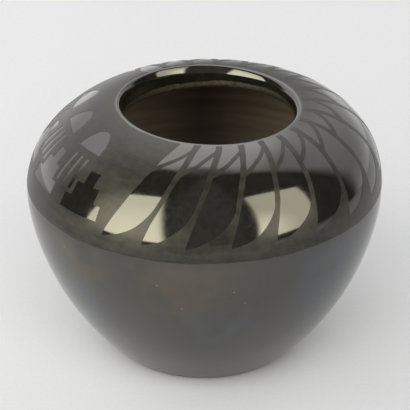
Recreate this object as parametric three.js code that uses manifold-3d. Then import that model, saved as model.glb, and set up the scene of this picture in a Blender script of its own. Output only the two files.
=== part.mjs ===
// A squat black-on-black pueblo jar, built up the way a potter builds it: a moulded base, coils lapped
// one inside another, a thick rim coil, a burnished slip over the outside and a matt painted film.
// Millimetres, +Z up, the middle of the foot at the origin, the front of the jar towards -Y.
import * as THREE from "three";
import { mergeVertices } from "three/addons/utils/BufferGeometryUtils.js";
import Module from "manifold-3d";

// The vessel's outside
const MAX_DIAMETER = 120;
const HEIGHT = 89.4;
const BELLY_HEIGHT = 59.5; // height of the widest circle
const FOOT_DIAMETER = 58.6;
const FOOT_ROUNDING = 2.4;
const MOUTH_DIAMETER = 57.7; // clear width inside the lip
const LOWER_FLARE = 43; // degrees above the floor at which the wall leaves the foot
const LOWER_FULLNESS = 0.53; // shares of the belly height that the lower curve's two ends hold straight
const BELLY_FULLNESS_BELOW = 0.154;
const BELLY_FULLNESS_ABOVE = 0.441; // share of the height above the belly
const SHOULDER_SLOPE = 23; // degrees, where the shoulder meets the lip
const SHOULDER_FULLNESS = 0.71; // share of the shoulder's width
const LIP_LAND = 5.25; // width of the nearly level ring outside the lip's crest
const LIP_CROWN = 0.6; // rise of that ring
const LIP_REACH = 2.7; // how far the lip bulges in from its crest

// The hand-made lean: above the belly the jar drifts to +X, and its rim dips on that side
const LEAN = 1.7;
const RIM_DIP = 1.0;
const DIP_TOWARDS = 11; // degrees from +X towards the back

// The clay
const WALL = 5.5;
const RIM_THICKNESS = 8.5; // from the lip's crest down to its underside
const FLOOR = 7;
const FOOT_DISH = 0.8; // hollow under the foot
const FOOT_RING = 8; // width of the flat ring that it stands on
const DISH_EDGE = 3.8; // width of the slope from that ring up into the hollow
const FLOOR_SWEEP = 0.6; // how fully the inside sweeps from the wall, and from the floor, as shares
const FLOOR_FLAT = 0.45;
const BASE_LENGTH = 30; // how far up the wall, along the outside, the moulded base reaches
const COIL_COUNT = 6;
const RIM_COIL_WIDTH = 12;
const LAP = 4; // each coil reaches this far down inside the one below
const HAIRLINE = 0.05; // joint between pieces that are pressed together
const SLIP = 0.4;
const SLIP_SHORT = 0.4; // the slip ends this far above the narrowest circle of the mouth

// The painted film, measured in degrees round the jar from the front and in mm up the shoulder
const PAINT = 0.3;
const PAINT_GAP = 0.3; // keeps the film's flat facets clear of the slip's
const BAND_ABOVE_BELLY = 2.2;
const LIP_MARGIN = 0.2; // bare strip at the lip's crest
const FEATHER_COUNT = 17;
const FEATHER_START = -17; // top of the first feather's left edge
const FEATHER_PITCH = 12.2;
const FEATHER_SPREAD = 0.12; // makes the later feathers wider
const FEATHER_SLANT = 15; // degrees from tip to top, at the front
const SLANT_EASE = 0.125; // lost for each degree round the jar
const SLANT_LEAST = -6;
const FEATHER_TIP = 4.8; // height of the tips up the shoulder
const BLADE_CURVE = 12; // height of the curved lower edge
const BLADE_BEND = 1.7; // 1 is a straight edge, 2 an ellipse
const STROKE_AT_LIP = 2.2; // brush width
const STROKE_AT_TIP = 1.4;
const BARB_WIDTH = 2.4; // of the short stroke at each feather's top, measured up the shoulder
const BARB_LOW = 29.6;
const BARB_HIGH = 38.6;
const PANEL_START = -127; // the part of the panel's ground that holds the bare shapes
const PANEL_END = -37;

// The panel's bare shapes, in the same measures: stepped clouds, and rain clouds between them
const STEPPED_PLACES = [-46, -70, -94, -118];
const STEPPED_HALF_WIDTHS = [8.5, 5.5, 2.5];
const STEPPED_FOOT = 8;
const STEP_RISE = 4.7;
const RAIN_PLACES = [-58, -82, -106];
const RAIN_CLOUD_HALF_WIDTH = 7.5;
const RAIN_CLOUD_FOOT = 27;
const RAIN_CLOUD_RISE = 8.5;
const RAIN_SPACING = 4;
const RAIN_HALF_WIDTH = 0.8;
const RAIN_FOOT = 14;
const RAIN_TOP = 24.5;

const SEGMENTS = 44;
const ROW = 6; // longest run up the shoulder between two rows of the film's facets
const rad = THREE.MathUtils.degToRad;
const { clamp, lerp } = THREE.MathUtils;

// Outside path, from the standing ring over the belly and the lip to the underside of the rim.
const radius = MAX_DIAMETER / 2;
const footRadius = FOOT_DIAMETER / 2;
const crestRadius = MOUTH_DIAMETER / 2 + LIP_REACH;
const above = HEIGHT - BELLY_HEIGHT;
const point = (x, y) => new THREE.Vector2(x, y);
const along = (from, degrees, length) =>
  point(from.x + length * Math.cos(rad(degrees)), from.y + length * Math.sin(rad(degrees)));

const footCorner = point(footRadius, 0);
const wallStart = along(footCorner, LOWER_FLARE, FOOT_ROUNDING);
const belly = point(radius, BELLY_HEIGHT);
const shoulderEnd = point(crestRadius + LIP_LAND, HEIGHT - LIP_CROWN);
const crest = point(crestRadius, HEIGHT);
const shoulderHold = SHOULDER_FULLNESS * (radius - shoulderEnd.x);

const path = new THREE.CurvePath();
path.add(new THREE.QuadraticBezierCurve(point(footRadius - FOOT_ROUNDING, 0), footCorner, wallStart));
path.add(
  new THREE.CubicBezierCurve(
    wallStart,
    along(wallStart, LOWER_FLARE, LOWER_FULLNESS * BELLY_HEIGHT),
    point(radius, BELLY_HEIGHT * (1 - BELLY_FULLNESS_BELOW)),
    belly,
  ),
);
path.add(
  new THREE.CubicBezierCurve(
    belly,
    point(radius, BELLY_HEIGHT + BELLY_FULLNESS_ABOVE * above),
    along(shoulderEnd, -SHOULDER_SLOPE, shoulderHold),
    shoulderEnd,
  ),
);
path.add(
  new THREE.CubicBezierCurve(
    shoulderEnd,
    along(shoulderEnd, 180 - SHOULDER_SLOPE, LIP_LAND / 4),
    point(crestRadius + LIP_LAND / 6, HEIGHT),
    crest,
  ),
);
// The lip is half an ellipse, in two quarters that meet at the narrowest circle of the mouth.
const lipHalf = RIM_THICKNESS / 2;
for (const turn of [0.5 * Math.PI, Math.PI]) {
  const end = turn + 0.5 * Math.PI;
  path.add(new THREE.EllipseCurve(crestRadius, HEIGHT - lipHalf, LIP_REACH, lipHalf, turn, end));
}
const [wallAt, bellyAt, , crestAt, narrowestAt, pathLength] = path.getCurveLengths();

// The point of the outside path this far along it, sunk this deep into the clay.
function outside(distance, depth) {
  const u = clamp(distance / pathLength, 0, 1);
  const at = path.getPoint(u);
  const tangent = path.getTangent(u);
  return point(at.x - tangent.y * depth, at.y + tangent.x * depth);
}

// The inside of the wall thickens from the belly up to the rim.
function inside(distance) {
  const share = clamp((distance - bellyAt) / (crestAt - bellyAt), 0, 1);
  return outside(distance, lerp(WALL, RIM_THICKNESS - SLIP, share));
}

function handShaped(geometry) {
  const place = geometry.getAttribute("position");
  for (let i = 0; i < place.count; i++) {
    const rise = clamp((place.getZ(i) - BELLY_HEIGHT) / above, 0, 1);
    const lowSide = place.getX(i) * Math.cos(rad(DIP_TOWARDS)) + place.getY(i) * Math.sin(rad(DIP_TOWARDS));
    const dip = (RIM_DIP * lowSide * rise ** 3) / crestRadius;
    place.setX(i, place.getX(i) + LEAN * rise ** 1.2);
    place.setZ(i, place.getZ(i) - dip);
  }
  return geometry;
}

function revolve(profile) {
  const geometry = new THREE.LatheGeometry(profile, SEGMENTS);
  geometry.rotateX(Math.PI / 2);
  return handShaped(geometry);
}

// Evenly spaced places along the path, both ends included.
const stations = (from, to, steps) =>
  Array.from({ length: steps + 1 }, (_, i) => lerp(from, to, i / steps));

// Where the pieces meet along the outside.
const rimSeam = crestAt - RIM_COIL_WIDTH;
const slipEnd = narrowestAt - SLIP_SHORT;
const baseRows = stations(wallAt, BASE_LENGTH, 3);
const coilSeams = stations(BASE_LENGTH, rimSeam, COIL_COUNT);
const coilRows = coilSeams.slice(1).map((top, i) => stations(coilSeams[i], top, 2));
const rimRows = [rimSeam, crestAt - LIP_LAND, ...stations(crestAt, slipEnd, 5)];
const underRimRows = stations(slipEnd, pathLength, 3).slice(1);
const clay = (distance) => outside(distance, SLIP + HAIRLINE);

function mouldedBase() {
  const ringInside = footRadius - FOOT_ROUNDING - FOOT_RING;
  const underside = [point(0, FOOT_DISH), point(ringInside - DISH_EDGE, FOOT_DISH), point(ringInside, 0)];
  const foot = stations(0, wallAt, 2).map((d) => outside(d, 0));
  const wall = baseRows.map(clay);
  const seam = BASE_LENGTH - LAP;
  const inner = inside(seam);
  const slope = inner.clone().sub(inside(seam + 1)).setLength(inner.y * FLOOR_SWEEP);
  const floor = new THREE.CubicBezierCurve(
    inner,
    inner.clone().add(slope),
    point(inner.x * FLOOR_FLAT, FLOOR),
    point(0, FLOOR),
  );
  return revolve([...underside, ...foot, ...wall, ...floor.getPoints(5)]);
}

// A coil scraped flat. Its seams slope down inwards, where it was pressed on to the coil below.
function wallCoil([seam, ...rows]) {
  const raised = [seam + HAIRLINE, ...rows];
  const outer = raised.map(clay);
  const inner = raised.map((d) => inside(d - LAP)).reverse();
  return revolve([...outer, ...inner, outer[0]]);
}

function rimCoil() {
  const seam = rimSeam + HAIRLINE;
  const outer = [seam, ...rimRows.slice(1), ...underRimRows].map(clay);
  const inner = stations(seam - LAP, crestAt, 3).map(inside).reverse().slice(1);
  return revolve([...outer, ...inner, outer[0]]);
}

function burnishedSlip() {
  const rows = [...new Set([...baseRows, ...coilRows.flat(), ...rimRows])];
  const outer = rows.map((d) => outside(d, 0));
  const inner = rows.map((d) => outside(d, SLIP)).reverse();
  return revolve([...outer, ...inner, outer[0]]);
}

// The painted film
const bandAt = bellyAt + BAND_ABOVE_BELLY;
const filmTop = crestAt - LIP_MARGIN - bandAt;

// Lays a flat drawing on the shoulder: x in degrees round the jar, y in mm up it, z in mm off it.
function wrapped(geometry) {
  const place = geometry.getAttribute("position");
  for (let i = 0; i < place.count; i++) {
    const angle = rad(place.getX(i));
    const at = outside(bandAt + place.getY(i), -place.getZ(i));
    place.setXYZ(i, at.x * Math.sin(angle), -at.x * Math.cos(angle), at.y);
  }
  return geometry;
}

const degrees = (mm, height) => (mm / outside(bandAt + height, 0).x) * (180 / Math.PI);

// Left edge of a feather, from its tip up to the lip, in degrees.
function leftEdge(feather, height) {
  const top = FEATHER_START + FEATHER_PITCH * feather + FEATHER_SPREAD * feather ** 2;
  const slant = Math.max(FEATHER_SLANT - SLANT_EASE * top, SLANT_LEAST);
  const share = clamp((height - FEATHER_TIP) / (filmTop - FEATHER_TIP), 0, 1);
  return top - slant * (1 - share ** 1.15);
}

// Right edge of a feather: it swings out from the tip like a blade, then keeps a brush's width
// away from the next feather.
function rightEdge(feather, height) {
  const left = leftEdge(feather, height);
  const rise = clamp((height - FEATHER_TIP) / BLADE_CURVE, 0, 1);
  const swing = (1 - (1 - rise) ** BLADE_BEND) ** (1 / BLADE_BEND);
  const brush = lerp(STROKE_AT_TIP, STROKE_AT_LIP, clamp(height / filmTop, 0, 1));
  return lerp(left, leftEdge(feather + 1, height) - degrees(brush, height), swing);
}

// A thin sheet of paint. place turns shares across and up the sheet into degrees and mm.
function sheet(columns, rows, place) {
  const box = new THREE.BoxGeometry(1, 1, 1, columns, rows, 1);
  const corners = box.getAttribute("position");
  for (let i = 0; i < corners.count; i++) {
    const [angle, height] = place(corners.getX(i) + 0.5, corners.getY(i) + 0.5);
    corners.setXYZ(i, angle, height, PAINT_GAP + PAINT * (corners.getZ(i) + 0.5));
  }
  // Turn the left side's diagonals, so that two sheets set side by side share whole triangles.
  const left = box.groups[1];
  for (let i = left.start; i < left.start + left.count; i += 6) {
    const [a, b, d, , c] = box.index.array.slice(i, i + 6);
    box.index.array.set([a, b, c, a, c, d], i);
  }
  return wrapped(box);
}

const wasm = await Module();
wasm.setup();

function solid(geometry) {
  geometry.deleteAttribute("normal");
  geometry.deleteAttribute("uv");
  const merged = mergeVertices(geometry, 1e-4);
  return new wasm.Manifold(
    new wasm.Mesh({
      numProp: 3,
      vertProperties: new Float32Array(merged.getAttribute("position").array),
      triVerts: new Uint32Array(merged.index.array),
    }),
  );
}

function meshed(manifold) {
  const { vertProperties, triVerts } = manifold.getMesh();
  const geometry = new THREE.BufferGeometry();
  geometry.setAttribute("position", new THREE.BufferAttribute(vertProperties, 3));
  geometry.setIndex(new THREE.BufferAttribute(triVerts, 1));
  return geometry;
}

// Shapes left bare in the panel, so that the polish shows. Corners are degrees from the shape's
// middle and mm up the shoulder.
function steppedCloud() {
  const right = STEPPED_HALF_WIDTHS.flatMap((half, step) => [
    [half, STEPPED_FOOT + STEP_RISE * step],
    [half, STEPPED_FOOT + STEP_RISE * (step + 1)],
  ]);
  const left = right.map(([x, y]) => [-x, y]).reverse();
  return [...right, ...left];
}

function rainCloud() {
  return stations(0, Math.PI, 6).map((turn) => [
    RAIN_CLOUD_HALF_WIDTH * Math.cos(turn),
    RAIN_CLOUD_FOOT + RAIN_CLOUD_RISE * Math.sin(turn),
  ]);
}

function rainLine(x) {
  const left = x - RAIN_HALF_WIDTH;
  const right = x + RAIN_HALF_WIDTH;
  return [[left, RAIN_FOOT], [right, RAIN_FOOT], [right, RAIN_TOP], [left, RAIN_TOP]];
}

const panelShapes = STEPPED_PLACES.map((middle) => ({ middle, corners: steppedCloud() }));
for (const middle of RAIN_PLACES) {
  panelShapes.push({ middle, corners: rainCloud() });
  for (const x of [-RAIN_SPACING, 0, RAIN_SPACING]) {
    panelShapes.push({ middle, corners: rainLine(x) });
  }
}

function bareShape({ middle, corners }) {
  const outline = new THREE.Shape(corners.map(([x, y]) => point(middle + x, y)));
  const depth = 10 * (PAINT_GAP + PAINT);
  const cutter = new THREE.ExtrudeGeometry(outline, { depth, bevelEnabled: false });
  return wrapped(cutter.translate(0, 0, -depth / 2));
}

// All strokes share these rows, so below the tips they join side to side into the band's border,
// and the short strokes end exactly on two rows of the long ones.
const barbLow = [BARB_LOW - BARB_WIDTH / 2, BARB_LOW + BARB_WIDTH / 2];
const barbHigh = [BARB_HIGH - BARB_WIDTH / 2, BARB_HIGH + BARB_WIDTH / 2];
const bladeRows = [0, 0.08, 0.25, 0.55, 1].map((share) => FEATHER_TIP + share * BLADE_CURVE);
const paintRows = [0];
for (const height of [...bladeRows, ...barbLow, ...barbHigh, filmTop]) {
  const last = paintRows.at(-1);
  paintRows.push(...stations(last, height, Math.ceil((height - last) / ROW)).slice(1));
}
const rowAt = (share) => paintRows[Math.round(share * (paintRows.length - 1))];

function featherStroke(feather) {
  return sheet(2, paintRows.length - 1, (across, up) => {
    const height = rowAt(up);
    return [lerp(rightEdge(feather - 1, height), leftEdge(feather, height), across), height];
  });
}

// The short stroke from each feather's top down to the feather before.
function featherBarb(feather) {
  return sheet(4, 1, (across, up) => {
    const side = Math.round(up);
    const from = leftEdge(feather, barbLow[side]);
    const to = rightEdge(feather, barbHigh[side]);
    return [lerp(from, to, across), lerp(barbLow[side], barbHigh[side], across ** 1.15)];
  });
}

// The panel's ground fills the way from the last feather round to the first. Its columns are
// upright between PANEL_START and PANEL_END, and two more on either side lean with the feathers.
function panelGround() {
  const upright = 12;
  const columns = upright + 4;
  return sheet(columns, paintRows.length - 1, (across, up) => {
    const height = rowAt(up);
    const column = Math.round(across * columns);
    if (column < 2) {
      const edge = rightEdge(FEATHER_COUNT - 1, height) - 360;
      return [lerp(edge, PANEL_START, column / 2), height];
    }
    if (column > columns - 2) {
      return [lerp(leftEdge(0, height), PANEL_END, (columns - column) / 2), height];
    }
    return [lerp(PANEL_START, PANEL_END, (column - 2) / upright), height];
  });
}

function mattPaint() {
  let film = solid(panelGround());
  for (const shape of panelShapes) {
    film = film.subtract(solid(bareShape(shape)));
  }
  for (let feather = 1; feather < FEATHER_COUNT; feather++) {
    film = film.add(solid(featherStroke(feather)));
  }
  for (let feather = 0; feather < FEATHER_COUNT; feather++) {
    film = film.add(solid(featherBarb(feather)));
  }
  return handShaped(meshed(film));
}

const bareClay = { color: 0x3a322b, roughness: 0.9, metalness: 0 };
const polishedSlip = { color: 0x1d1d1b, roughness: 0.12, metalness: 0 };
const mattSlip = { color: 0x54524c, roughness: 0.6, metalness: 0 };

const jar = new THREE.Group();
jar.name = "pueblo_jar";
function addPiece(name, geometry, look) {
  const mesh = new THREE.Mesh(geometry, new THREE.MeshStandardMaterial(look));
  mesh.name = name;
  jar.add(mesh);
}

addPiece("moulded_base", mouldedBase(), bareClay);
coilRows.forEach((rows, i) => addPiece(`wall_coil_${i + 1}`, wallCoil(rows), bareClay));
addPiece("rim_coil", rimCoil(), bareClay);
addPiece("burnished_slip", burnishedSlip(), polishedSlip);
addPiece("matt_paint", mattPaint(), mattSlip);

export default jar;
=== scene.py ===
# A small black-on-black pueblo jar: coiled clay, a stone-burnished slip and a band of matt painted
# feathers, standing on a pale studio floor. Metres, +Z up, the front of the jar towards -Y.
from math import cos, pi, radians, sin, tan

import bpy
import numpy as np
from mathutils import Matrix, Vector
from mathutils.geometry import interpolate_bezier


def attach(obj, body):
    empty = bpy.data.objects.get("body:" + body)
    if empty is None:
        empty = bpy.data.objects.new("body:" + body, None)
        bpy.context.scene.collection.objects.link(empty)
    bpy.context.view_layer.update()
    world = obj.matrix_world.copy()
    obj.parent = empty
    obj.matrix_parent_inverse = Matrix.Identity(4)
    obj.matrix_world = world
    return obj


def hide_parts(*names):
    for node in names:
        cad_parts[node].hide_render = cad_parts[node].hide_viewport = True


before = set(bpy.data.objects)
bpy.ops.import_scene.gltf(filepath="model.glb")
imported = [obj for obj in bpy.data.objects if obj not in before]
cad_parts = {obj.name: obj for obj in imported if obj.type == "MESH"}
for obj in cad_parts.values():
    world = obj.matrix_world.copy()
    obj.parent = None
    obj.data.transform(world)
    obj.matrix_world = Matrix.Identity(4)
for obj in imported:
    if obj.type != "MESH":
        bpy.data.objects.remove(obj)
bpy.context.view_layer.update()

MM = 0.001

# The outline of the jar, in millimetres
BELLY_RADIUS = 60.0
BELLY_HEIGHT = 59.5
HEIGHT = 89.4
FOOT_RADIUS = 29.3
FOOT_ROUNDING = 2.4
MOUTH_RADIUS = 28.85
LIP_REACH = 1.85
RIM_THICKNESS = 8.5
LIP_LAND = 11.3  # how wide the shoulder rounds over to the crest of the lip, and how far it rises
LIP_CROWN = 3.12
CREST_SLOPE = radians(6)
LOWER_FLARE = radians(43)
SHOULDER_SLOPE = radians(27.9)
LOWER_HOLD = 0.53 * BELLY_HEIGHT
BELLY_HOLD_BELOW = 0.154 * BELLY_HEIGHT
BELLY_HOLD_ABOVE = 0.446 * (HEIGHT - BELLY_HEIGHT)
SHOULDER_FULLNESS = 0.611

# How far the potter's hands left it from a true round, in millimetres
LEAN = 1.7
RIM_DIP = 1.0
DIP_TOWARDS = radians(11)
FULL_BACK = 2.25  # at the back, the shoulder stands up on the right and sinks on the left
FULL_RIGHT = 0.45  # how much more it does the first than the second

# The clay under the slip
WALL = 5.5
FLOOR_THICKNESS = 7.0
FOOT_DISH = 0.8
FOOT_RING = 8.0
DISH_EDGE = 3.8
HOLLOW_HOLD = 0.6  # how long the wall's slope carries on down into the hollow, and how flat its floor is
HOLLOW_FLATNESS = 0.45
BASE_LENGTH = 30.0
COIL_COUNT = 6
RIM_COIL_WIDTH = 12.0
LAP = 4.0
SLIP = 0.4
SLIP_PAST = 1.0
SLIP_RAGGED = 0.12

# The painted film, in degrees round the jar from the front and millimetres up the shoulder
PAINT_PROUD = 0.05
PAINT_SUNK = 0.05
BAND_ABOVE_BELLY = 2.2
LIP_MARGIN = 0.9
FEATHER_COUNT = 17
FEATHER_START = -17.0
FEATHER_PITCH = 12.2
FEATHER_SPREAD = 0.12
FEATHER_SLANT = 15.0
SLANT_EASE = 0.125
SLANT_LEAST = -6.0
FEATHER_TIP = 4.8
BLADE_CURVE = 12.0
BLADE_BEND = 1.7
STROKE_AT_LIP = 2.2
STROKE_AT_TIP = 1.4
BARB_WIDTH = 2.4
BARB_LOW = 29.6
BARB_HIGH = 38.6
PANEL_START = -127.0
PANEL_END = -37.0
STEPPED_PLACES = (-46, -70, -94, -118)
STEPPED_HALF_WIDTHS = (8.5, 5.5, 2.5)
STEPPED_FOOT = 8.0
STEP_RISE = 4.7
RAIN_PLACES = (-58, -82, -106)
RAIN_CLOUD_HALF_WIDTH = 7.5
RAIN_CLOUD_FOOT = 27.0
RAIN_CLOUD_RISE = 8.5
RAIN_SPACING = 4.0
RAIN_HALF_WIDTH = 0.8
RAIN_FOOT = 14.0
RAIN_TOP = 24.5

# How finely the pieces are divided
SLIP_SEGMENTS = 360
CLAY_SEGMENTS = 180
CLAY_ROW = 1.5
RIM_ROW = 0.6
SLIP_ROW = 1.3
LIP_ROW = 0.4
LIP_ROWS_FROM = 4.0
SLIP_BACK_ROW = 3.0
FOOT_STEPS = 9
HOLLOW_STEPS = 28
STROKE_COLUMNS, STROKE_ROWS = 6, 84
BARB_STEPS, BARB_ROWS = 16, 4
PANEL_COLUMNS, PANEL_ROWS = 150, 56
CUTTER_DEPTH = 4
CLOUD_SEGMENTS = 64


# Outline
def along(start, angle, length):
    return (start[0] + length * cos(angle), start[1] + length * sin(angle))


def between(a, b, share):
    return (a[0] + (b[0] - a[0]) * share, a[1] + (b[1] - a[1]) * share)


CREST_RADIUS = MOUTH_RADIUS + LIP_REACH
QUARTER_ROUND = 4 / 3 * tan(pi / 8)  # handle length that makes a quarter ellipse
CREST_HOLD = 0.45  # a shorter one, so that the lip turns sharply down into the mouth

foot_start = (FOOT_RADIUS - FOOT_ROUNDING, 0)
foot_corner = (FOOT_RADIUS, 0)
wall_start = along(foot_corner, LOWER_FLARE, FOOT_ROUNDING)
belly = (BELLY_RADIUS, BELLY_HEIGHT)
shoulder_end = (CREST_RADIUS + LIP_LAND, HEIGHT - LIP_CROWN)
crest = (CREST_RADIUS, HEIGHT)
crest_corner = (MOUTH_RADIUS, HEIGHT)
narrowest = (MOUTH_RADIUS, HEIGHT - RIM_THICKNESS / 2)
under_corner = (MOUTH_RADIUS, HEIGHT - RIM_THICKNESS)
under_lip = (CREST_RADIUS, HEIGHT - RIM_THICKNESS)

# Each stretch of the outside: its start, the two handles that shape it, and its end
STRETCHES = (
    (foot_start, between(foot_start, foot_corner, 2 / 3),
     between(wall_start, foot_corner, 2 / 3), wall_start),
    (wall_start, along(wall_start, LOWER_FLARE, LOWER_HOLD),
     (BELLY_RADIUS, BELLY_HEIGHT - BELLY_HOLD_BELOW), belly),
    (belly, (BELLY_RADIUS, BELLY_HEIGHT + BELLY_HOLD_ABOVE),
     along(shoulder_end, -SHOULDER_SLOPE, SHOULDER_FULLNESS * (BELLY_RADIUS - shoulder_end[0])),
     shoulder_end),
    (shoulder_end, along(shoulder_end, pi - SHOULDER_SLOPE, LIP_LAND / 3),
     along(crest, -CREST_SLOPE, LIP_LAND / 3), crest),
    (crest, along(crest, pi - CREST_SLOPE, CREST_HOLD * LIP_REACH),
     between(narrowest, crest_corner, QUARTER_ROUND), narrowest),
    (narrowest, between(narrowest, under_corner, QUARTER_ROUND),
     between(under_lip, under_corner, QUARTER_ROUND), under_lip),
)
FINE = 240


def trace_outline():
    points = []
    ends = []
    for stretch in STRETCHES:
        points += [tuple(p)[:2] for p in interpolate_bezier(*map(Vector, stretch), FINE)][bool(points):]
        ends.append(len(points) - 1)
    points = np.array(points)
    steps = np.hypot(*np.diff(points, axis=0).T)
    lengths = np.concatenate([[0], np.cumsum(steps)])
    tangents = np.gradient(points, lengths, axis=0)
    return points, tangents, lengths, lengths[ends]


OUTLINE, TANGENTS, LENGTHS, ENDS = trace_outline()
WALL_AT, BELLY_AT, _, CREST_AT, NARROWEST_AT, UNDER_LIP_AT = ENDS


def outside(distance, depth=0.0):
    """Radius and height of the outside this far along the outline, sunk this deep into the clay."""
    radius, height = (np.interp(distance, LENGTHS, OUTLINE[:, i]) for i in (0, 1))
    out, up = (np.interp(distance, LENGTHS, TANGENTS[:, i]) for i in (0, 1))
    size = np.hypot(out, up)
    return radius - up / size * depth, height + out / size * depth


def inside(distance):
    """The inside of the wall, which thickens from the belly up to the rim."""
    share = np.clip((distance - BELLY_AT) / (CREST_AT - BELLY_AT), 0, 1)
    return outside(distance, WALL + (RIM_THICKNESS - SLIP - WALL) * share)


def hand_shaped(points):
    """Points of a true round jar, in millimetres, moved as the potter's hands left them, in metres."""
    x, y, z = points.T
    angle = np.arctan2(x, -y)
    swell = 0.10 * np.sin(2 * angle + z / 40) + 0.06 * np.sin(3 * angle - z / 13 + 1)
    swell += 0.025 * np.sin(7 * angle + z / 5) + 0.02 * np.sin(11 * angle - z / 4 + 2)
    radius = np.maximum(np.hypot(x, y), 1e-6)
    steady = np.clip(z / 20, 0, 1)
    x, y = (v * (1 + swell * steady / np.maximum(radius, 20)) for v in (x, y))
    rise = np.clip((z - BELLY_HEIGHT) / (HEIGHT - BELLY_HEIGHT), 0, 1)
    low_side = x * cos(DIP_TOWARDS) + y * sin(DIP_TOWARDS)
    dip = RIM_DIP * low_side * rise**3 / CREST_RADIUS
    across = np.sin(angle) + FULL_RIGHT * np.sin(angle) ** 2
    lift = FULL_BACK * across * (1 - np.cos(angle)) / 2 * rise * (1 - rise**8)
    return np.stack([x + LEAN * rise**1.2, y, z - dip + lift], axis=1) * MM


# Modelling by hand
def start_piece(name, add_primitive, **sizes):
    bpy.ops.object.select_all(action="DESELECT")
    add_primitive(**sizes)
    piece = bpy.context.object
    piece.name = piece.data.name = name
    return piece


def pick(*pieces):
    bpy.ops.object.select_all(action="DESELECT")
    for piece in pieces:
        piece.select_set(True)
    bpy.context.view_layer.objects.active = pieces[0]


def vertex_places(piece):
    places = np.empty(len(piece.data.vertices) * 3)
    piece.data.vertices.foreach_get("co", places)
    return places.reshape(-1, 3)


def move_vertices(piece, places):
    piece.data.vertices.foreach_set("co", places.ravel())
    piece.data.update()


def apply_modifier(piece, kind, **settings):
    modifier = piece.modifiers.new(kind.title(), kind)
    for setting, value in settings.items():
        setattr(modifier, setting, value)
    pick(piece)
    bpy.ops.object.modifier_apply(modifier=modifier.name)


def turned(node, profile, segments):
    """A piece spun round the jar's axis from a closed profile of (radius, height), in millimetres."""
    piece = start_piece(f"{node}_surface", bpy.ops.mesh.primitive_plane_add, size=1)
    bpy.ops.object.mode_set(mode="EDIT")
    bpy.ops.mesh.select_all(action="SELECT")
    bpy.ops.mesh.merge(type="CENTER")
    at = Vector((profile[0][0], 0, profile[0][1]))
    bpy.ops.transform.translate(value=at)
    for radius, height in profile[1:]:
        step = Vector((radius, 0, height)) - at
        bpy.ops.mesh.extrude_region_move(TRANSFORM_OT_translate={"value": step})
        at += step
    bpy.ops.mesh.select_all(action="SELECT")
    bpy.ops.mesh.spin(steps=segments, angle=2 * pi, center=(0, 0, 0), axis=(0, 0, 1))
    bpy.ops.mesh.select_all(action="SELECT")
    bpy.ops.mesh.remove_doubles(threshold=1e-3)
    bpy.ops.mesh.normals_make_consistent(inside=False)
    bpy.ops.object.mode_set(mode="OBJECT")
    return piece


def finish_round(piece):
    move_vertices(piece, hand_shaped(vertex_places(piece)))
    pick(piece)
    bpy.ops.object.shade_smooth_by_angle(angle=radians(40))
    return piece


def places_between(start, end, longest):
    return np.linspace(start, end, int(np.ceil((end - start) / longest)) + 1)


def closed_profile(*stretches):
    """Joins (radii, heights) pairs into one closed profile."""
    points = [(float(r), float(h)) for radii, heights in stretches for r, h in zip(radii, heights)]
    return points + [points[0]]


# Clay
RIM_SEAM = CREST_AT - RIM_COIL_WIDTH
COIL_SEAMS = np.linspace(BASE_LENGTH, RIM_SEAM, COIL_COUNT + 1)


def moulded_base():
    ring_inside = FOOT_RADIUS - FOOT_ROUNDING - FOOT_RING
    underside = ([0, ring_inside - DISH_EDGE, ring_inside], [FOOT_DISH, FOOT_DISH, 0])
    foot = outside(np.linspace(0, WALL_AT, FOOT_STEPS))
    wall = outside(places_between(WALL_AT, BASE_LENGTH, CLAY_ROW), SLIP)
    seam = Vector(inside(BASE_LENGTH - LAP))
    down = (seam - Vector(inside(BASE_LENGTH - LAP + 1))).normalized()
    hollow = interpolate_bezier(
        seam, seam + down * seam.y * HOLLOW_HOLD, Vector((seam.x * HOLLOW_FLATNESS, FLOOR_THICKNESS)),
        Vector((0, FLOOR_THICKNESS)), HOLLOW_STEPS)
    profile = closed_profile(underside, foot, wall, zip(*(tuple(p)[:2] for p in hollow)))
    return finish_round(turned("moulded_base", profile, CLAY_SEGMENTS))


def wall_coil(number):
    rows = places_between(COIL_SEAMS[number - 1], COIL_SEAMS[number], CLAY_ROW)
    profile = closed_profile(outside(rows, SLIP), inside(rows[::-1] - LAP))
    return finish_round(turned(f"wall_coil_{number}", profile, CLAY_SEGMENTS))


def rim_coil():
    rows = places_between(RIM_SEAM, UNDER_LIP_AT, RIM_ROW)
    past_slip = np.clip(rows - (NARROWEST_AT + SLIP_PAST) - 0.5, 0, 1)
    outer = outside(rows, SLIP * (1 - past_slip))
    inner = inside(places_between(RIM_SEAM - LAP, CREST_AT, CLAY_ROW)[::-1])
    return finish_round(turned("rim_coil", closed_profile(outer, inner), CLAY_SEGMENTS))


# Slip
def burnished_slip():
    """The coat over the whole outside. Its end inside the mouth is ragged, where it was wiped off."""
    end = NARROWEST_AT + SLIP_PAST
    wall = places_between(WALL_AT, CREST_AT - LIP_ROWS_FROM, SLIP_ROW)[:-1]
    lip = places_between(CREST_AT - LIP_ROWS_FROM, end, LIP_ROW)
    back = places_between(WALL_AT, end, SLIP_BACK_ROW)[::-1]
    profile = closed_profile(outside(np.concatenate([wall, lip])), outside(back, SLIP))
    piece = turned("burnished_slip", profile, SLIP_SEGMENTS)
    places = vertex_places(piece)
    x, y, z = places.T
    angle = np.arctan2(x, -y)
    ragged = np.sin(9 * angle) + 0.7 * np.sin(23 * angle + 1) + 0.6 * np.sin(57 * angle + 2)
    ragged += 0.6 * np.sin(131 * angle)
    in_mouth = (np.hypot(x, y) < CREST_RADIUS) & (z > HEIGHT - RIM_THICKNESS)
    near_end = np.clip(1 - (z - outside(end)[1]) / 1.5, 0, 1) * in_mouth
    places[:, 2] += SLIP_RAGGED * ragged * near_end
    move_vertices(piece, places)
    return finish_round(piece)


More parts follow.
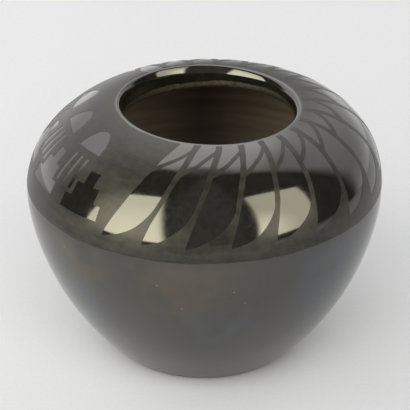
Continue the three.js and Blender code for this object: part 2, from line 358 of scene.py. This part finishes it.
# Paint
BAND_AT = BELLY_AT + BAND_ABOVE_BELLY
FILM_TOP = CREST_AT - LIP_MARGIN - BAND_AT


def lerp(a, b, share):
    return a + (b - a) * share


def degrees_for(width, height):
    return np.degrees(width / outside(BAND_AT + height)[0])


def left_edge(feather, height):
    """Left edge of a feather in degrees, from its tip up to the lip."""
    top = FEATHER_START + FEATHER_PITCH * feather + FEATHER_SPREAD * feather**2
    slant = max(FEATHER_SLANT - SLANT_EASE * top, SLANT_LEAST)
    share = np.clip((height - FEATHER_TIP) / (FILM_TOP - FEATHER_TIP), 0, 1)
    return top - slant * (1 - share**1.15)


def right_edge(feather, height):
    """Right edge: it swings out from the tip like a blade, then keeps a brush's width from the next."""
    rise = np.clip((height - FEATHER_TIP) / BLADE_CURVE, 0, 1)
    swing = (1 - (1 - rise) ** BLADE_BEND) ** (1 / BLADE_BEND)
    brush = lerp(STROKE_AT_TIP, STROKE_AT_LIP, np.clip(height / FILM_TOP, 0, 1))
    stroke = left_edge(feather + 1, height) - degrees_for(brush, height)
    return lerp(left_edge(feather, height), stroke, swing)


def hand_painted(angle, height):
    """The small wander of a brush held by hand. Strokes that meet wander together."""
    sideways = 0.08 * np.sin(0.33 * height + 0.31 * angle) + 0.03 * np.sin(1.3 * height - 0.83 * angle)
    upwards = 0.12 * np.sin(0.19 * angle + 0.2 * height) + 0.07 * np.sin(0.61 * angle + 1)
    upwards += 0.03 * np.sin(1.7 * angle - 0.5 * height)
    return angle + degrees_for(sideways, height), height + upwards


def wrapped(piece):
    """Lays a flat drawing on the shoulder: x in degrees, y in mm up it, z in mm off it."""
    x, y, z = vertex_places(piece).T
    degrees, up = hand_painted(x, y)
    radius, height = outside(BAND_AT + up, -z)
    angle = np.radians(degrees)
    places = np.stack([radius * np.sin(angle), -radius * np.cos(angle), height], axis=1)
    move_vertices(piece, hand_shaped(places))
    return piece


def sheet(name, columns, rows, place):
    """A flat sheet of paint. place turns shares across and up it into degrees and mm."""
    piece = start_piece(
        name, bpy.ops.mesh.primitive_grid_add, x_subdivisions=columns, y_subdivisions=rows, size=1)
    x, y, _ = vertex_places(piece).T
    angle, height = place(x + 0.5, y + 0.5)
    move_vertices(piece, np.stack([angle, height, np.zeros_like(angle)], axis=1))
    apply_modifier(piece, "SOLIDIFY", thickness=PAINT_PROUD + PAINT_SUNK, offset=1)
    move_vertices(piece, vertex_places(piece) - (0, 0, PAINT_SUNK))
    return piece


def feather_stroke(feather):
    def place(across, up):
        # Rows crowd together at the tips, where the edge curves most
        height = FILM_TOP * up**1.25
        return lerp(right_edge(feather - 1, height), left_edge(feather, height), across), height

    return sheet(f"stroke_{feather}", STROKE_COLUMNS, STROKE_ROWS, place)


def feather_barb(feather):
    def place(across, up):
        low = BARB_LOW + BARB_WIDTH * (up - 0.5)
        high = BARB_HIGH + BARB_WIDTH * (up - 0.5)
        angle = lerp(left_edge(feather, low), right_edge(feather, high), across)
        return angle, lerp(low, high, across**1.15)

    return sheet(f"barb_{feather}", BARB_STEPS, BARB_ROWS, place)


def panel_ground():
    """The panel's ground fills the way from the last feather round to the first."""
    def place(across, up):
        height = FILM_TOP * up
        left = right_edge(FEATHER_COUNT - 1, height) - 360
        part = np.interp(across, (0, 0.08, 0.92, 1), (0, 1, 2, 3))
        start = lerp(left, PANEL_START, np.clip(part, 0, 1))
        middle = lerp(start, PANEL_END, np.clip(part - 1, 0, 1))
        return lerp(middle, left_edge(0, height), np.clip(part - 2, 0, 1)), height

    panel = sheet("panel_ground", PANEL_COLUMNS, PANEL_ROWS, place)
    for cutter in bare_shapes():
        pick(cutter)
        bpy.ops.object.transform_apply(location=True, rotation=True, scale=True)
        apply_modifier(panel, "BOOLEAN", object=cutter, operation="DIFFERENCE", solver="EXACT")
        bpy.data.objects.remove(cutter)
    return panel


def block(middle, half_width, low, high):
    return start_piece(
        "block", bpy.ops.mesh.primitive_cube_add, size=1,
        location=(middle, (low + high) / 2, 0), scale=(2 * half_width, high - low, CUTTER_DEPTH))


def stepped_cloud(middle):
    return [
        block(middle, half, STEPPED_FOOT + STEP_RISE * step, STEPPED_FOOT + STEP_RISE * (step + 1))
        for step, half in enumerate(STEPPED_HALF_WIDTHS)
    ]


def rain_cloud(middle):
    cloud = start_piece(
        "cloud", bpy.ops.mesh.primitive_cylinder_add, vertices=CLOUD_SEGMENTS, radius=1, depth=CUTTER_DEPTH,
        location=(middle, RAIN_CLOUD_FOOT, 0), scale=(RAIN_CLOUD_HALF_WIDTH, RAIN_CLOUD_RISE, 1))
    bpy.ops.object.mode_set(mode="EDIT")
    bpy.ops.mesh.select_all(action="SELECT")
    bpy.ops.mesh.bisect(
        plane_co=(middle, RAIN_CLOUD_FOOT, 0), plane_no=(0, 1, 0), use_fill=True, clear_inner=True)
    bpy.ops.object.mode_set(mode="OBJECT")
    rain = [
        block(middle + side * RAIN_SPACING, RAIN_HALF_WIDTH, RAIN_FOOT, RAIN_TOP)
        for side in (-1, 0, 1)
    ]
    return [cloud, *rain]


def bare_shapes():
    """Clouds that are left bare in the panel, so that the polish shows."""
    shapes = []
    for middle in STEPPED_PLACES:
        shapes += stepped_cloud(middle)
    for middle in RAIN_PLACES:
        shapes += rain_cloud(middle)
    return shapes


def matt_paint():
    film = [panel_ground()]
    film += [feather_stroke(feather) for feather in range(1, FEATHER_COUNT)]
    film += [feather_barb(feather) for feather in range(FEATHER_COUNT)]
    pick(*[wrapped(piece) for piece in film])
    bpy.ops.object.join()
    paint = bpy.context.object
    paint.name = paint.data.name = "matt_paint_surface"
    bpy.ops.object.shade_smooth_by_angle(angle=radians(40))
    return paint


# Materials
def colour(code):
    """An sRGB hex colour as linear light."""
    parts = [int(code[i:i + 2], 16) / 255 for i in (1, 3, 5)]
    return (*(p / 12.92 if p <= 0.04045 else ((p + 0.055) / 1.055) ** 2.4 for p in parts), 1)


def grey(level):
    return (level, level, level, 1)


def per_mm(size):
    """Texture scale at which one feature is this many millimetres across."""
    return 1 / (size * MM)


def add(tree, kind, inputs=None, stops=(), **settings):
    """Adds a node with its settings, its values, the links into it and a colour ramp's stops."""
    made = tree.nodes.new(kind)
    for setting, value in settings.items():
        setattr(made, setting, value)
    for socket, value in (inputs or {}).items():
        if isinstance(value, bpy.types.NodeSocket):
            tree.links.new(value, made.inputs[socket])
        else:
            made.inputs[socket].default_value = value
    for stop, (at, tint) in enumerate(stops):
        if stop >= 2:
            made.color_ramp.elements.new(at)
        made.color_ramp.elements[stop].position = at
        made.color_ramp.elements[stop].color = tint
    return made


def new_material(name):
    material = bpy.data.materials.new(name)
    material.use_nodes = True
    material.node_tree.nodes.clear()
    return material, material.node_tree


def close_material(tree, inputs):
    shader = add(tree, "ShaderNodeBsdfPrincipled", inputs)
    add(tree, "ShaderNodeOutputMaterial", {"Surface": shader.outputs["BSDF"]})


# Where smoke lay against the jar in the firing: place in mm, reach in mm, cover and tint
FIRE_CLOUDS = (
    ((-6, -58, 56), 28, 0.32, "#463719"),
    ((-40, -42, 56), 20, 0.32, "#463719"),
    ((-16, -48, 36), 14, 0.32, "#33281a"),
    ((16, -44, 28), 13, 0.32, "#33291a"),
    ((46, -38, 48), 30, 0.36, "#1e3350"),
    ((-40, -32, 30), 22, 0.6, "#1e3045"),
    ((6, -48, 36), 15, 0.4, "#24344a"),
    ((-20, 56, 46), 40, 0.36, "#46371c"),
    ((44, 34, 36), 30, 0.5, "#1e3045"),
)


def stone_burnished_slip():
    """Carbon-black clay slip rubbed with a river stone: a deep, slightly warm mirror, with brown and blue
    clouds from the firing on the lower wall, faint marks of the stone, and a few pale specks of grit."""
    material, tree = new_material("stone_burnished_black_slip")
    at = add(tree, "ShaderNodeTexCoord").outputs["Object"]
    mottle = add(tree, "ShaderNodeTexNoise", {
        "Vector": at, "Scale": per_mm(2.2), "Detail": 5.0, "Roughness": 0.65,
        "Distortion": 0.8}).outputs["Fac"]
    tint = add(tree, "ShaderNodeValToRGB", {"Fac": mottle}, stops=(
        (0.35, colour("#0f0f0e")), (0.65, colour("#1b1a17")))).outputs["Color"]
    drift = add(tree, "ShaderNodeTexNoise", {
        "Vector": at, "Scale": per_mm(9), "Detail": 6.0, "Roughness": 0.6, "Distortion": 0.6}).outputs["Fac"]
    broken = add(tree, "ShaderNodeMapRange", {
        "Value": drift, "From Min": 0.38, "From Max": 0.6}).outputs["Result"]
    up = add(tree, "ShaderNodeSeparateXYZ", {"Vector": at}).outputs["Z"]
    lower = add(tree, "ShaderNodeMapRange", {
        "Value": up, "From Min": 63 * MM, "From Max": 58 * MM}).outputs["Result"]
    broken = add(tree, "ShaderNodeMath", {0: broken, 1: lower}, operation="MULTIPLY").outputs["Value"]
    for place, reach, most, smoke in FIRE_CLOUDS:
        away = add(tree, "ShaderNodeVectorMath", {
            0: at, 1: Vector(place) * MM}, operation="DISTANCE").outputs["Value"]
        near = add(tree, "ShaderNodeMapRange", {
            "Value": away, "From Min": reach * MM, "From Max": 0.35 * reach * MM, "To Max": most},
            interpolation_type="SMOOTHSTEP").outputs["Result"]
        cover = add(tree, "ShaderNodeMath", {0: near, 1: broken}, operation="MULTIPLY").outputs["Value"]
        tint = add(tree, "ShaderNodeMix", {
            0: cover, 6: tint, 7: colour(smoke)}, data_type="RGBA").outputs[2]
    # The lower wall is less polished than the shoulder, and keeps marks of the stone, which was rubbed
    # round it. They are finer on a real jar, and are drawn at a size that shows
    around = add(tree, "ShaderNodeMapping", {"Vector": at, "Scale": (0.4, 0.4, 1)}).outputs["Vector"]
    rubbing = add(tree, "ShaderNodeTexNoise", {
        "Vector": around, "Scale": per_mm(0.8), "Detail": 4.0, "Roughness": 0.7}).outputs["Fac"]
    bloom = add(tree, "ShaderNodeMapRange", {
        "Value": rubbing, "From Min": 0.3, "From Max": 0.8, "To Max": 0.15}).outputs["Result"]
    bloom = add(tree, "ShaderNodeMath", {0: bloom, 1: lower}, operation="MULTIPLY").outputs["Value"]
    tint = add(tree, "ShaderNodeMix", {
        0: bloom, 6: tint, 7: colour("#5c5b54")}, data_type="RGBA").outputs[2]
    grit = add(tree, "ShaderNodeTexVoronoi", {"Vector": at, "Scale": per_mm(8)}).outputs["Distance"]
    speck = add(tree, "ShaderNodeMapRange", {
        "Value": grit, "From Min": 0.04, "From Max": 0.025}).outputs["Result"]
    tint = add(tree, "ShaderNodeMix", {
        0: speck, 6: tint, 7: colour("#5f6064")}, data_type="RGBA").outputs[2]
    rough = add(tree, "ShaderNodeValToRGB", {"Fac": mottle}, stops=(
        (0.35, grey(0.07)), (0.7, grey(0.12)))).outputs["Color"]
    close_material(tree, {
        "Base Color": tint, "Roughness": rough, "IOR": 1.76, "Specular Tint": (1.0, 0.995, 0.97, 1)})
    return material


def brushed_matt_slip():
    """Thin clay slip brushed over the polish: dull, with a broad soft sheen and uneven cover."""
    material, tree = new_material("brushed_matt_slip")
    at = add(tree, "ShaderNodeTexCoord").outputs["Object"]
    around = add(tree, "ShaderNodeMapping", {"Vector": at, "Scale": (0.12, 0.12, 1)}).outputs["Vector"]
    strokes = add(tree, "ShaderNodeTexNoise", {
        "Vector": around, "Scale": per_mm(1.6), "Detail": 3.0}).outputs["Fac"]
    patches = add(tree, "ShaderNodeTexNoise", {
        "Vector": at, "Scale": per_mm(3), "Detail": 6.0, "Roughness": 0.65}).outputs["Fac"]
    cover = add(tree, "ShaderNodeMix", {0: 0.6, 2: strokes, 3: patches}, data_type="FLOAT").outputs[0]
    tint = add(tree, "ShaderNodeValToRGB", {"Fac": cover}, stops=(
        (0.38, colour("#161512")), (0.62, colour("#2c2b26")))).outputs["Color"]
    rough = add(tree, "ShaderNodeValToRGB", {"Fac": cover}, stops=(
        (0.38, grey(0.37)), (0.62, grey(0.46)))).outputs["Color"]
    # The coat stands for the way a dull film mirrors more where it is seen at a slant
    close_material(tree, {
        "Base Color": tint, "Roughness": rough, "IOR": 1.34,
        "Coat Weight": 0.22, "Coat Roughness": 0.25, "Coat IOR": 1.5})
    return material


def wiped_clay():
    """Bare smoke-blackened earthenware, wiped round with a damp rag: brown-black, matt and streaked."""
    material, tree = new_material("smoked_earthenware")
    at = add(tree, "ShaderNodeTexCoord").outputs["Object"]
    around = add(tree, "ShaderNodeMapping", {"Vector": at, "Scale": (0.06, 0.06, 1)}).outputs["Vector"]
    wipes = add(tree, "ShaderNodeTexNoise", {
        "Vector": around, "Scale": per_mm(2.4), "Detail": 4.0}).outputs["Fac"]
    tint = add(tree, "ShaderNodeValToRGB", {"Fac": wipes}, stops=(
        (0.3, colour("#675b4f")), (0.7, colour("#7b7063")))).outputs["Color"]
    bump = add(tree, "ShaderNodeBump", {
        "Height": wipes, "Strength": 0.2, "Distance": 0.2 * MM}).outputs["Normal"]
    close_material(tree, {"Base Color": tint, "Roughness": 0.75, "Normal": bump})
    return material


def rubbed_clay():
    """Clay of the rim below the polish, where the rag left it rough, with painted shade that darkens it at
    the front and sides and leaves it paler at the back.
    """
    material, tree = new_material("rubbed_rim_earthenware")
    at = add(tree, "ShaderNodeTexCoord").outputs["Object"]
    grain = add(tree, "ShaderNodeTexNoise", {
        "Vector": at, "Scale": per_mm(1.2), "Detail": 4.0}).outputs["Fac"]
    tint = add(tree, "ShaderNodeValToRGB", {"Fac": grain}, stops=(
        (0.35, colour("#1e1b16")), (0.65, colour("#433e34")))).outputs["Color"]
    # Painted shade: the clay is darker at the front and sides of the mouth, and paler only towards the back
    towards_back = add(tree, "ShaderNodeSeparateXYZ", {"Vector": at}).outputs["Y"]
    front_painted_shade = add(tree, "ShaderNodeMapRange", {
        "Value": towards_back, "From Min": 28 * MM, "From Max": 16 * MM}).outputs["Result"]
    tint = add(tree, "ShaderNodeMix", {
        0: front_painted_shade, 6: tint, 7: colour("#14120f")}, data_type="RGBA").outputs[2]
    bump = add(tree, "ShaderNodeBump", {
        "Height": grain, "Strength": 0.3, "Distance": 0.2 * MM}).outputs["Normal"]
    close_material(tree, {"Base Color": tint, "Roughness": 0.75, "Normal": bump})
    return material


def studio_paper():
    """Smooth pale paper."""
    material, tree = new_material("studio_paper")
    at = add(tree, "ShaderNodeTexCoord").outputs["Object"]
    grain = add(tree, "ShaderNodeTexNoise", {
        "Vector": at, "Scale": per_mm(1.5), "Detail": 2.0}).outputs["Fac"]
    tint = add(tree, "ShaderNodeValToRGB", {"Fac": grain}, stops=(
        (0.3, colour("#dfdfdf")), (0.7, colour("#e2e2e2")))).outputs["Color"]
    close_material(tree, {"Base Color": tint, "Roughness": 0.9})
    return material


# Pieces
def dress(piece, material):
    """Gives a piece its finish, and puts it in the place of the node that it is named for."""
    piece.data.materials.append(material)
    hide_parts(piece.name.removesuffix("_surface"))
    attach(piece, "root")
    jar.objects.link(piece)


jar = bpy.data.collections.new("jar")
bare_clay = wiped_clay()
for piece in [moulded_base(), *(wall_coil(number) for number in range(1, COIL_COUNT + 1))]:
    dress(piece, bare_clay)
dress(rim_coil(), rubbed_clay())
dress(burnished_slip(), stone_burnished_slip())
dress(matt_paint(), brushed_matt_slip())

# Studio
FLOOR_SIZE = 8
FLOOR_BEHIND = 0.65  # the floor ends here, and the backdrop that the polish mirrors begins
floor = start_piece(
    "studio_floor", bpy.ops.mesh.primitive_plane_add, size=FLOOR_SIZE,
    location=(0, FLOOR_BEHIND - FLOOR_SIZE / 2, 0))
floor.data.materials.append(studio_paper())
stage = bpy.data.collections.new("stage")
stage.objects.link(floor)

EYE_LEVEL = 0.07  # height on the jar from which the lights are placed
LIGHT_DISTANCE = 0.9
PANEL_SIZE = (1.6, 1.2)
PANEL_DISTANCE = 1.4
NO_HOT_SPOT = ((0, 0, 0), 1.0, 0.0)


def direction(azimuth, elevation):
    """From the jar, with azimuth 0 towards the camera and positive to the picture's right."""
    flat = cos(radians(elevation))
    return Vector((sin(radians(azimuth)) * flat, -cos(radians(azimuth)) * flat, sin(radians(elevation))))


def light_panel(name, width, height, radiance, tint, falls_on):
    """A rectangular light that shines along its own -Z, on one collection of objects."""
    light = bpy.data.lights.new(name, "AREA")
    light.shape = "RECTANGLE"
    light.size = width
    light.size_y = height
    light.energy = radiance * pi * width * height
    light.color = colour(tint)[:3]
    lamp = bpy.data.objects.new(name, light)
    bpy.context.scene.collection.objects.link(lamp)
    lamp.light_linking.receiver_collection = falls_on
    return lamp


def fade_edges(lamp, fades, hot_spot=NO_HOT_SPOT):
    """Softens a light's edges. Each fade is a direction across the panel, whose sides are 0 and 1, and
    the two places along it where the light begins and where it is full. The hot spot is its place on the
    panel, its reach and how much brighter it is."""
    lamp.data.use_nodes = True
    tree = lamp.data.node_tree
    tree.nodes.clear()
    across = add(tree, "ShaderNodeNewGeometry").outputs["Parametric"]
    place, reach, gain = hot_spot
    away = add(tree, "ShaderNodeVectorMath", {0: across, 1: place}, operation="DISTANCE").outputs["Value"]
    strength = add(tree, "ShaderNodeMapRange", {
        "Value": away, "From Min": reach, "From Max": 0.0, "To Min": 1.0, "To Max": 1 + gain},
        interpolation_type="SMOOTHSTEP").outputs["Result"]
    for way, begins, full in fades:
        along_way = add(tree, "ShaderNodeVectorMath", {
            0: across, 1: way}, operation="DOT_PRODUCT").outputs["Value"]
        fade = add(tree, "ShaderNodeMapRange", {
            "Value": along_way, "From Min": begins, "From Max": full},
            interpolation_type="SMOOTHSTEP").outputs["Result"]
        strength = add(tree, "ShaderNodeMath", {0: strength, 1: fade}, operation="MULTIPLY").outputs["Value"]
    glow = add(tree, "ShaderNodeEmission", {"Strength": strength})
    add(tree, "ShaderNodeOutputLight", {"Surface": glow.outputs["Emission"]})


def softbox(name, facing, corner, opposite, radiance, fades, hot_spot=NO_HOT_SPOT):
    """An upright softbox, drawn as the polish shows it. facing is its azimuth in degrees; the corners are
    places across and up it, as shares of its distance."""
    low, high = (Vector(place) * LIGHT_DISTANCE for place in (corner, opposite))
    size, middle = high - low, (low + high) / 2
    lamp = light_panel(name, size.x, size.y, radiance, "#fff9dc", jar)
    outward = direction(facing, 0)
    lamp.location = outward * LIGHT_DISTANCE + direction(facing + 90, 0) * middle.x
    lamp.location.z = EYE_LEVEL + middle.y
    lamp.rotation_euler = outward.to_track_quat("Z", "Y").to_euler()
    fade_edges(lamp, fades, hot_spot)


def top_light():
    """A level panel above and behind the jar that fades out over the jar."""
    near, far, half_width = (LIGHT_DISTANCE * share for share in (0.03, 2.75, 0.5))
    lamp = light_panel("top_light", 2 * half_width, far - near, 0.97, "#fff9ee", jar)
    lamp.location = (0, (near + far) / 2, EYE_LEVEL + LIGHT_DISTANCE)
    fade_edges(lamp, (
        ((0, 1, 0), 0.0, 0.075), ((0, -1, 0), -1.0, -0.8),
        ((1, -0.2, 0), 0.0, 0.25), ((-1, -0.2, 0), -1.0, -0.75)))


def mouth_light():
    """Soft light from the front into the mouth. The polish doesn't mirror it."""
    lamp = light_panel("mouth_light", *PANEL_SIZE, 0.46, "#ffffff", jar)
    lamp.location = direction(0, 42) * PANEL_DISTANCE
    lamp.rotation_euler = lamp.location.to_track_quat("Z", "Y").to_euler()
    lamp.visible_glossy = False


def floor_light(azimuth, elevation, radiance):
    """One of a ring of panels that light the floor."""
    lamp = light_panel(f"floor_light_{azimuth % 360}", *PANEL_SIZE, radiance, "#ffffff", stage)
    lamp.location = direction(azimuth, elevation) * PANEL_DISTANCE
    lamp.rotation_euler = lamp.location.to_track_quat("Z", "Y").to_euler()


def studio_room():
    """What the polish mirrors: a dark room on the camera's side and a pale backdrop, which is brighter on
    the left and dimmer low down, straight behind the jar."""
    world = bpy.data.worlds.new("studio_room")
    bpy.context.scene.world = world
    world.cycles_visibility.diffuse = False
    world.use_nodes = True
    tree = world.node_tree
    tree.nodes.clear()
    towards = add(tree, "ShaderNodeTexCoord").outputs["Generated"]
    part = add(tree, "ShaderNodeSeparateXYZ", {"Vector": towards}).outputs
    level = add(tree, "ShaderNodeCombineXYZ", {"X": part["X"], "Y": part["Y"]}).outputs["Vector"]
    flat = add(tree, "ShaderNodeVectorMath", {0: level}, operation="NORMALIZE").outputs["Vector"]
    bearing = add(tree, "ShaderNodeSeparateXYZ", {"Vector": flat}).outputs
    behind = add(tree, "ShaderNodeMapRange", {
        "Value": bearing["Y"], "From Min": 0.28, "From Max": 0.48},
        interpolation_type="SMOOTHSTEP").outputs["Result"]
    sideways = add(tree, "ShaderNodeMapRange", {
        "Value": bearing["X"], "From Min": -0.9, "From Max": 0.9,
        "To Min": 1.8, "To Max": 1.05}).outputs["Result"]
    upwards = add(tree, "ShaderNodeValToRGB", {"Fac": part["Z"]}, stops=(
        (0.0, grey(1.0)), (0.12, grey(0.8)), (0.3, grey(0.7)), (0.55, grey(0.9)), (0.65, grey(1.0)),
        (0.975, grey(1.0)), (1.0, grey(0.15)))).outputs["Color"]
    paper = add(tree, "ShaderNodeMath", {0: sideways, 1: upwards}, operation="MULTIPLY").outputs["Value"]
    from_left = add(tree, "ShaderNodeMapRange", {
        "Value": bearing["X"], "From Min": -0.12, "From Max": 0.0, "To Max": 0.55},
        interpolation_type="SMOOTHSTEP").outputs["Result"]
    from_right = add(tree, "ShaderNodeMapRange", {
        "Value": bearing["X"], "From Min": 0.34, "From Max": -0.02},
        interpolation_type="SMOOTHSTEP").outputs["Result"]
    straight_back = add(tree, "ShaderNodeMath", {
        0: from_left, 1: from_right}, operation="MULTIPLY").outputs["Value"]
    low = add(tree, "ShaderNodeMapRange", {
        "Value": part["Z"], "From Min": 0.62, "From Max": 0.48}).outputs["Result"]
    dimming = add(tree, "ShaderNodeMath", {0: straight_back, 1: low}, operation="MULTIPLY").outputs["Value"]
    undimmed = add(tree, "ShaderNodeMath", {0: 1.0, 1: dimming}, operation="SUBTRACT").outputs["Value"]
    paper = add(tree, "ShaderNodeMath", {0: paper, 1: undimmed}, operation="MULTIPLY").outputs["Value"]
    room = add(tree, "ShaderNodeMapRange", {
        "Value": bearing["Y"], "From Min": -0.8, "From Max": -0.95,
        "To Min": 0.06, "To Max": 0.2}).outputs["Result"]
    strength = add(tree, "ShaderNodeMix", {"Factor": behind, "A": room, "B": paper}).outputs["Result"]
    glow = add(tree, "ShaderNodeBackground", {"Color": colour("#fdfdfd"), "Strength": strength})
    add(tree, "ShaderNodeOutputWorld", {"Surface": glow.outputs["Background"]})


# The softboxes' sides, fades and hot spots are those that the polish shows
softbox("right_softbox", 32, (0, 0.08), (1.37, 1.85), 3.9, (
    ((1, -0.116, 0), -0.015, 0.035), ((-1, 0.424, 0), -0.58, -0.53), ((0.2, -1, 0), -0.95, -0.92)),
    ((0, 0.1, 0), 0.45, 1.0))
softbox("left_softbox", -16, (-1.9, 0.08), (-0.1, 1.88), 6.0, (
    ((-1, -0.2, 0), -1.0, -0.935),), ((0.75, 0, 0), 0.8, 0.35))
softbox("left_spill", -16, (-0.45, 0.08), (-0.02, 1.5), 1.0, (
    ((-1, -0.2, 0), -1.0, -0.2), ((0, -1, 0), -1.0, -0.7)))
top_light()
mouth_light()
# Azimuth and elevation in degrees, and radiance
FLOOR_LIGHTS = (
    (0, 40, 3.4), (-48, 38, 0.8), (-95, 38, 0.85), (-138, 38, 1.2), (138, 38, 1.05), (95, 38, 0.35))
for azimuth, elevation, radiance in FLOOR_LIGHTS:
    floor_light(azimuth, elevation, radiance)
studio_room()

# Camera: the long lens and height from which the photograph was taken
CAMERA_ELEVATION = 28.03
CAMERA_DISTANCE = 0.96
AIM = Vector((0.0003, 0, 0.0511))
FOCAL_PIXELS = 2826.6
FRAME_PIXELS = 410

camera_data = bpy.data.cameras.new("camera")
camera_data.sensor_width = 36
camera_data.lens = FOCAL_PIXELS / FRAME_PIXELS * camera_data.sensor_width
camera = bpy.data.objects.new("camera", camera_data)
bpy.context.scene.collection.objects.link(camera)
camera.location = AIM + direction(0, CAMERA_ELEVATION) * CAMERA_DISTANCE
camera.rotation_euler = (camera.location - AIM).to_track_quat("Z", "Y").to_euler()
bpy.context.scene.camera = camera
bpy.context.scene.view_settings.view_transform = "Standard"
